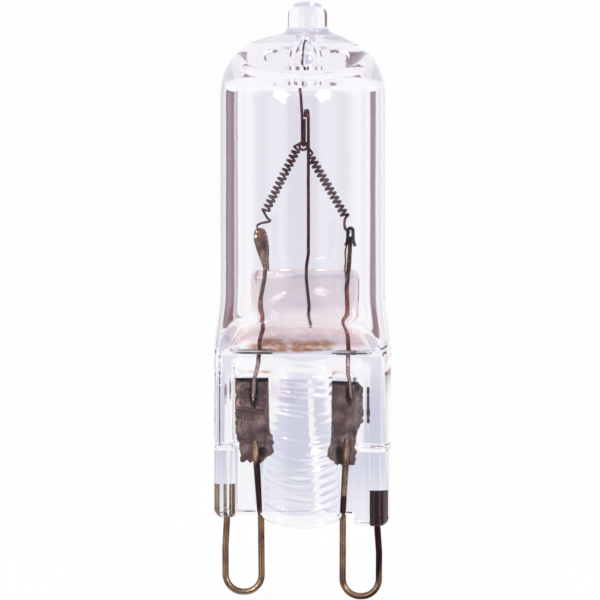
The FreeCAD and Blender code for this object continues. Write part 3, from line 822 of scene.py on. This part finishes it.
# Terminal loops and inner leads: x and z of their bends, and share, flatness and spread of their welds
wires = {
    "loopRadius": 0.25,
    "loopBend": 1.38,
    "loopY": -0.23,
    "loopWeld": (0.12, 0.55, 1.15),
    "leadRadius": 0.165,
    "leadBend": 0.25,
    "leadY": -0.16,
    "leadStraight": 17,
    "leadWeld": (0.2, 0.5, 0.9),
    "leftLoop": (
        (-3.6, 5.75),
        (-3.16, 0.0),
        (-3.11, -5.97),
        (-5.89, -5.97),
        (-5.91, -2.6),
        (-5.76, 0.2),
        (-5.76, 2.38),
    ),
    "rightLoop": (
        (3.5, 6.05),
        (3.13, 0.0),
        (3.11, -6.18),
        (5.89, -6.18),
        (5.91, -2.8),
        (5.7, 0.2),
        (5.7, 2.03),
    ),
    "leftLead": (
        (-3.75, 8.75),
        (-3.61, 10.66),
        (-3.41, 11.68),
        (-3.23, 12.5),
        (-3.26, 13.44),
        (-2.96, 14.93),
        (-3.14, 15.7),
        (-3.15, 16.7),
        (-2.76, 18.7),
        (-2.9, 19.8),
    ),
    "rightLead": (
        (3.82, 9.05),
        (3.72, 10.17),
        (3.54, 11.2),
        (3.58, 12.5),
        (3.5, 14.64),
        (3.44, 16.0),
        (3.36, 17.5),
        (3.55, 19.34),
        (3.66, 21.4),
    ),
}


def weldShape(weldShare, flatness, spread):
    # the wire's start is flattened and spread on its foil
    def shape(share):
        t = ease(share / weldShare)
        taper = between(0.45, 1, ease(share / 0.02))
        return taper * between(spread, 1, t), between(flatness, 1, t)

    return shape


def makeLoop(side):
    w = wires
    bm = bmesh.new()
    points = [(x, w["loopY"], z) for x, z in w[side + "Loop"]]
    sweep(bm, roundedPath(points, w["loopBend"]), w["loopRadius"], 20, weldShape(*w["loopWeld"]))
    return bm


def makeLead(side):
    w = wires
    bm = bmesh.new()
    points = [(x, w["leadY"] * ease((w["leadStraight"] - z) / 3), z) for x, z in w[side + "Lead"]]
    sweep(bm, roundedPath(points, w["leadBend"]), w["leadRadius"], 16, weldShape(*w["leadWeld"]))
    return bm


for side in sides:
    loop, lead = makeLoop(side), makeLead(side)
    finishPiece(loop, side + "Loop", metal["loopMetal"], side + "_terminal_loop")
    finishPiece(lead, side + "Lead", metal["leadMetal"], side + "_lead_wire")
print("loops and leads made")

# Clamps: the left is seen flat, and the right from its edge
clamps = {
    "paddle": ((-2.74, 18.66), (-2.9, 19.5), (-3.04, 20.3), (-3.24, 21.3), (-3.36, 22.0)),
    "paddleHalfWidth": (0.17, 0.3, 0.45, 0.52, 0.36),
    "paddleHalfDepth": 0.22,
    "paddleNeck": 0.6,
    "paddleEnd": 0.02,
    "paddleRoundStart": 0.93,
    "stripPower": 4.5,
    "staple": ((3.28, 20.7), (3.44, 21.05), (3.47, 22.04), (3.86, 22.04), (3.88, 21.05), (4.03, 20.7)),
    "stapleBend": 0.17,
    "stapleThickness": 0.13,
    "stapleHalfWidth": 0.52,
    "strand": ((3.36, 20.75), (3.28, 20.2), (3.3, 19.4), (3.22, 18.7), (3.34, 18.1)),
    "strandRadius": 0.07,
    "strandY": -0.2,
}


def makePaddle():
    c = clamps
    bm = bmesh.new()
    path = smoothCurve([(x, 0, z) for x, z in c["paddle"]], 8)
    widths = smoothCurve([(w, 0, 0) for w in c["paddleHalfWidth"]], 8)
    last = len(path) - 1

    def shape(share):
        top = math.sqrt(1 - limit((share - c["paddleRoundStart"]) / 0.072) ** 2)
        deep = c["paddleHalfDepth"] * between(c["paddleNeck"], 1, share)
        return widths[round(share * last)].x * top + c["paddleEnd"], deep * top + c["paddleEnd"]

    sweep(bm, path, 1.0, 28, shape, c["stripPower"])
    return bm


def makeStaple():
    c = clamps
    bm = bmesh.new()
    path = roundedPath([(x, 0, z) for x, z in c["staple"]], c["stapleBend"])
    thin, wide = c["stapleThickness"], c["stapleHalfWidth"]
    sweep(bm, smoothCurve(path, 2), 1.0, 24, lambda share: (thin, wide), c["stripPower"])
    strand = smoothCurve([(x, c["strandY"], z) for x, z in c["strand"]], 8)
    sweep(bm, strand, c["strandRadius"], 10)
    return bm


finishPiece(makePaddle(), "leftClamp", metal["clampMetal"], "left_filament_clamp", 40)
finishPiece(makeStaple(), "rightClamp", metal["clampMetal"], "right_filament_clamp", 40)
print("clamps made")

# Filament: two coiled legs, the open turn between them and the squeezed tails
filament = {
    "radius": 0.1,
    "coilRadius": 0.27,
    "pitch": 0.385,
    "turns": 14,
    "steps": 22,
    "leftFoot": (-2.84, 23.3),
    "rightFoot": (3.27, 22.95),
    "leftHeadX": -0.4,
    "rightHeadX": 0.54,
    "apexRadius": 0.3,
    "apexRise": 0.42,
    "apexStart": 130,
    "apexTurn": 400,
    "apexReach": 0.13,
    "leftTail": (
        (-2.73, 0.1, 22.78),
        (-2.51, 0.1, 22.52),
        (-3.2, 0.0, 22.36),
        (-3.5, -0.1, 22.15),
        (-3.3, -0.26, 21.8),
    ),
    "rightTail": ((3.22, 0.1, 22.7), (3.2, 0.0, 22.2), (3.33, 0.0, 21.9), (3.62, 0.0, 21.7)),
    "squeezedTurns": 4,
    "squeezedReach": 0.24,
    "squeezedDepth": 0.05,
    "squeezedShare": 0.08,
    "squeezedThin": 0.75,
    "squeezedTop": (-3.02, -0.38, 21.7),
    "squeezedBottom": (-2.84, -0.38, 20.35),
}


def legPoints(side):
    f = filament
    footX, footZ = f[side + "Foot"]
    foot = Vector((footX, 0, footZ))
    length = f["pitch"] * f["turns"]
    run = f[side + "HeadX"] - footX
    axis = Vector((run, 0, math.sqrt(length**2 - run**2))).normalized()
    turn = Vector((0, 0, 1)).rotation_difference(axis)
    start = math.pi if side == "left" else 0.0
    points = []
    for i in range(f["turns"] * f["steps"] + 1):
        turns = i / f["steps"]
        angle = start + 2 * math.pi * turns
        reach = f["coilRadius"] * (1 + 0.08 * noise.noise(Vector((turns * 0.7, footX, 0))))
        spoke = Vector((reach * math.cos(angle), reach * math.sin(angle), f["pitch"] * turns))
        points.append(foot + turn @ spoke)
    return points, foot + axis * length


def apexPoints(leftHead, rightHead, leftEnd, rightEnd):
    f = filament
    centre = (leftHead + rightHead) / 2 + Vector((0, 0, f["apexRise"]))
    points = [leftEnd]
    for i in range(13):
        share = i / 12
        angle = math.radians(f["apexStart"] - f["apexTurn"] * share)
        spoke = Vector((math.cos(angle), 0, math.sin(angle))) * f["apexRadius"]
        spoke.y = f["apexReach"] * (2 * share - 1)
        points.append(centre + spoke)
    return smoothCurve(points + [rightEnd], 5)


def squeezedPoints():
    f = filament
    top, bottom = Vector(f["squeezedTop"]), Vector(f["squeezedBottom"])
    steps = 8
    points = []
    for i in range(f["squeezedTurns"] * steps + 1):
        angle = 2 * math.pi * i / steps
        wave = Vector((f["squeezedReach"] * math.cos(angle), f["squeezedDepth"] * math.sin(angle), 0))
        points.append(top.lerp(bottom, i / (f["squeezedTurns"] * steps)) + wave)
    return points


def makeFilament():
    f = filament
    left, leftHead = legPoints("left")
    right, rightHead = legPoints("right")
    path = squeezedPoints()[::-1]
    path += smoothCurve([path[-1], *reversed(f["leftTail"]), left[0]], 8)[1:]
    path += left[1:] + apexPoints(leftHead, rightHead, left[-1], right[-1])[1:]
    path += right[-2::-1]
    path += smoothCurve([right[0], *f["rightTail"]], 8)[1:]
    bm = bmesh.new()

    def shape(share):
        width = between(f["squeezedThin"], 1.0, ease((share - f["squeezedShare"]) / 0.02))
        return width, width

    sweep(bm, path, f["radius"], 10, shape)
    return bm


finishPiece(makeFilament(), "coiledFilament", metal["coilMetal"], "filament")
print("filament made")

# Post and tip wire
holders = {
    "postRadius": 0.13,
    "postBend": 0.4,
    "post": (
        (0.7, 0.0, 15.25),
        (0.5, 0.0, 16.54),
        (0.3, 0.0, 18.45),
        (0.3, 0.0, 19.1),
        (0.51, -0.64, 20.1),
        (0.51, -0.64, 31.0),
        (0.2, 0.33, 31.0),
        (0.17, 0.33, 30.45),
    ),
    "tipRadius": 0.105,
    "tipBend": 0.33,
    "tip": (
        (0.3, 1.2, 34.86),
        (0.12, 0.74, 35.26),
        (-0.05, 0.45, 34.6),
        (-0.22, 0.33, 33.0),
        (-0.06, 0.33, 30.6),
        (-0.05, 0.33, 28.3),
        (0.19, -0.33, 28.3),
        (0.19, -0.33, 30.36),
    ),
}


def makeHolder(points, radius, bend):
    bm = bmesh.new()
    sweep(bm, roundedPath(points, bend), radius, 14)
    return bm


post = makeHolder(holders["post"], holders["postRadius"], holders["postBend"])
finishPiece(post, "supportPost", metal["postMetal"], "support_post")
hanger = makeHolder(holders["tip"], holders["tipRadius"], holders["tipBend"])
finishPiece(hanger, "tipWire", metal["postMetal"], "tip_wire")
print("post and tip wire made")

# Studio: white paper, and soft bands that only the glass and the metals see
# aim, viewHeight and floorZ are in millimetres, and the camera's and lamps' distances in metres
studio = {
    "floorZ": -6.45,
    "cameraTurn": 6.0,
    "cameraRise": 5.0,
    "distance": 0.42,
    "viewHeight": 45.76,
    "aim": (-0.19, 0.0, 16.49),
    "white": (1.0, 1.0, 1.0),
    "mauve": (0.2, 0.085, 0.13),
    "grey": (0.16, 0.15, 0.17),
    "lavender": (0.84, 0.835, 0.9),
    "nearPale": (0.88, 0.89, 0.94),
    "nearBlue": (0.63, 0.65, 0.77),
    "skyline": (0.03, 0.1),
    "lampTurn": 30.0,
    "lampRise": 6.6,
    "lampWidth": 0.107,
    "lampHeight": 0.07,
    "lampDistance": 0.3,
    "lampAim": 0.032,
    "lampPower": 0.27,
}
# where the paper's tones change: metres from the bulb, and shares to the right of the view's middle
paper = {
    "halfSize": 3.0,
    "glow": 0.88,
    "paleToBlue": (0.05, 0.1),
    "blueToBands": (0.14, 0.19),
    "frontToBehind": (-0.04, -0.02),
    "cardRight": (-0.0088, -0.0078),
    "cardLeft": (-0.03, -0.022),
    "blueToSide": (0.06, 0.1),
}
# turn from the camera's heading, full half width and faded half width, in degrees, and tone
bands = {
    "middle": (0.0, 1.0, 11.0, "lavender"),
    "leftWall": (-39.0, 13.0, 16.0, "mauve"),
    "rightWall": (46.0, 7.0, 11.0, "mauve"),
    "leftSide": (-108.0, 8.0, 15.0, "grey"),
    "rightSide": (108.0, 8.0, 15.0, "grey"),
    "back": (180.0, 18.0, 30.0, "grey"),
}


def headingAt(turn):
    ahead = math.radians(studio["cameraTurn"])
    forward = Vector((-math.sin(ahead), math.cos(ahead), 0))
    right = Vector((math.cos(ahead), math.sin(ahead), 0))
    return forward * math.cos(math.radians(turn)) + right * math.sin(math.radians(turn))


def bandsGroup():
    given = (("Vector", "NodeSocketVector", None),)
    group, entry, out = nodeGroup("studioBands", given, (("Color", "NodeSocketColor"),))
    level = addVector(group, "MULTIPLY", entry.outputs["Vector"], (1, 1, 0))
    heading = addVector(group, "NORMALIZE", level)
    color = studio["white"]
    for turn, full, faded, tone in bands.values():
        aim = addVector(group, "DOT_PRODUCT", heading, headingAt(turn))
        low, high = math.cos(math.radians(faded)), math.cos(math.radians(full))
        color = addMix(group, addRange(group, aim, low, high, 0, 1, True), color, studio[tone])
    group.links.new(color, out.inputs["Color"])
    return group


studioBands = bandsGroup()


def addBands(tree, vector):
    node = tree.nodes.new("ShaderNodeGroup")
    node.node_tree = studioBands
    tree.links.new(vector, node.inputs["Vector"])
    return node.outputs["Color"]


def makeFloor():
    p = paper
    bm = bmesh.new()
    made = bmesh.ops.create_grid(bm, x_segments=1, y_segments=1, size=p["halfSize"])["verts"]
    bmesh.ops.translate(bm, vec=(0, 0, studio["floorZ"] * mm), verts=made)
    mesh = bpy.data.meshes.new("floor")
    bm.to_mesh(mesh)
    bm.free()
    floor = bpy.data.objects.new("floor", mesh)
    bpy.context.collection.objects.link(floor)
    material, tree, shader, output = nodeMaterial("floorPaper")
    shader.inputs["Base Color"].default_value = (0.9, 0.9, 0.9, 1)
    shader.inputs["Roughness"].default_value = 0.9
    path = tree.nodes.new("ShaderNodeLightPath")
    throughGlass, mirrored = path.outputs["Is Transmission Ray"], path.outputs["Is Glossy Ray"]
    place = objectPlace(tree)
    distance = addVector(tree, "LENGTH", addVector(tree, "MULTIPLY", place, (1, 1, 0)))
    along = addVector(tree, "DOT_PRODUCT", place, headingAt(0))
    across = addVector(tree, "DOT_PRODUCT", place, headingAt(90))
    behind = addRange(tree, along, *p["frontToBehind"], 0, 1, True)
    bandsSeen = addBands(tree, place)
    # the paper just behind the pinch is bluish, with a white card to its left and white at its sides
    blue = addRange(tree, distance, *p["paleToBlue"], 0, 1, True)
    nearTone = addMix(tree, blue, studio["nearPale"], studio["nearBlue"])
    rightward = addMath(tree, "DIVIDE", across, addMath(tree, "ADD", along, studio["distance"]))
    cardRight = addRange(tree, rightward, *p["cardRight"], 1, 0)
    cardLeft = addRange(tree, rightward, *p["cardLeft"], 0, 1)
    card = addMath(tree, "MULTIPLY", cardRight, cardLeft)
    aside = addRange(tree, addMath(tree, "ABSOLUTE", rightward, 0), *p["blueToSide"], 0, 1, True)
    nearTone = addMix(tree, addMath(tree, "MAXIMUM", card, aside), nearTone, studio["white"])
    # the bands lie farther off
    close = addRange(tree, distance, *p["blueToBands"], 1, 0, True)
    near = addMath(tree, "MULTIPLY", close, behind)
    forward = addMix(tree, near, bandsSeen, nearTone)
    seen = addMix(tree, mirrored, studio["white"], bandsSeen)
    glow = tree.nodes.new("ShaderNodeEmission")
    tree.links.new(addMix(tree, throughGlass, seen, forward), glow.inputs["Color"])
    bent = addMath(tree, "MAXIMUM", throughGlass, mirrored)
    lifted = addMath(tree, "MAXIMUM", path.outputs["Is Camera Ray"], bent)
    mix = tree.nodes.new("ShaderNodeMixShader")
    tree.links.new(addMath(tree, "MULTIPLY", lifted, p["glow"]), mix.inputs["Fac"])
    tree.links.new(shader.outputs["BSDF"], mix.inputs[1])
    tree.links.new(glow.outputs["Emission"], mix.inputs[2])
    tree.links.new(mix.outputs["Shader"], output.inputs["Surface"])
    mesh.materials.append(material)


def makeWorld():
    world = bpy.data.worlds.new("studio")
    bpy.context.scene.world = world
    world.use_nodes = True
    tree = world.node_tree
    tree.nodes.clear()
    output = tree.nodes.new("ShaderNodeOutputWorld")
    direction = tree.nodes.new("ShaderNodeTexCoord").outputs["Generated"]
    parts = tree.nodes.new("ShaderNodeSeparateXYZ")
    tree.links.new(direction, parts.inputs["Vector"])
    above = addRange(tree, parts.outputs["Z"], *studio["skyline"], 0, 1, True)
    around = tree.nodes.new("ShaderNodeBackground")
    color = addMix(tree, above, addBands(tree, direction), studio["white"])
    tree.links.new(color, around.inputs["Color"])
    plain = tree.nodes.new("ShaderNodeBackground")
    plain.inputs["Color"].default_value = (1, 1, 1, 1)
    path = tree.nodes.new("ShaderNodeLightPath")
    mix = tree.nodes.new("ShaderNodeMixShader")
    tree.links.new(path.outputs["Is Camera Ray"], mix.inputs["Fac"])
    tree.links.new(around.outputs["Background"], mix.inputs[1])
    tree.links.new(plain.outputs["Background"], mix.inputs[2])
    tree.links.new(mix.outputs["Shader"], output.inputs["Surface"])


def addLamp(name, turn):
    s = studio
    data = bpy.data.lights.new(name, "AREA")
    data.shape = "ELLIPSE"
    data.size = s["lampWidth"]
    data.size_y = s["lampHeight"]
    data.energy = s["lampPower"]
    lamp = bpy.data.objects.new(name, data)
    rise = math.radians(s["lampRise"])
    away = -headingAt(turn) * math.cos(rise) + Vector((0, 0, math.sin(rise)))
    lamp.location = Vector((0, 0, s["lampAim"])) + away * s["lampDistance"]
    lamp.rotation_euler = (-away).to_track_quat("-Z", "Y").to_euler()
    bpy.context.collection.objects.link(lamp)


def addCamera():
    s = studio
    data = bpy.data.cameras.new("camera")
    camera = bpy.data.objects.new("camera", data)
    bpy.context.collection.objects.link(camera)
    rise = math.radians(s["cameraRise"])
    away = -headingAt(0) * math.cos(rise) + Vector((0, 0, math.sin(rise)))
    camera.location = Vector(s["aim"]) * mm + away * s["distance"]
    camera.rotation_euler = (-away).to_track_quat("-Z", "Y").to_euler()
    data.sensor_width = 36
    data.lens = 36 * s["distance"] / (s["viewHeight"] * mm)
    data.clip_start = 0.01
    bpy.context.scene.camera = camera


makeFloor()
makeWorld()
addLamp("leftLamp", -studio["lampTurn"])
addLamp("rightLamp", studio["lampTurn"])
addCamera()
bpy.context.scene.view_settings.view_transform = "Standard"
print("stage made")
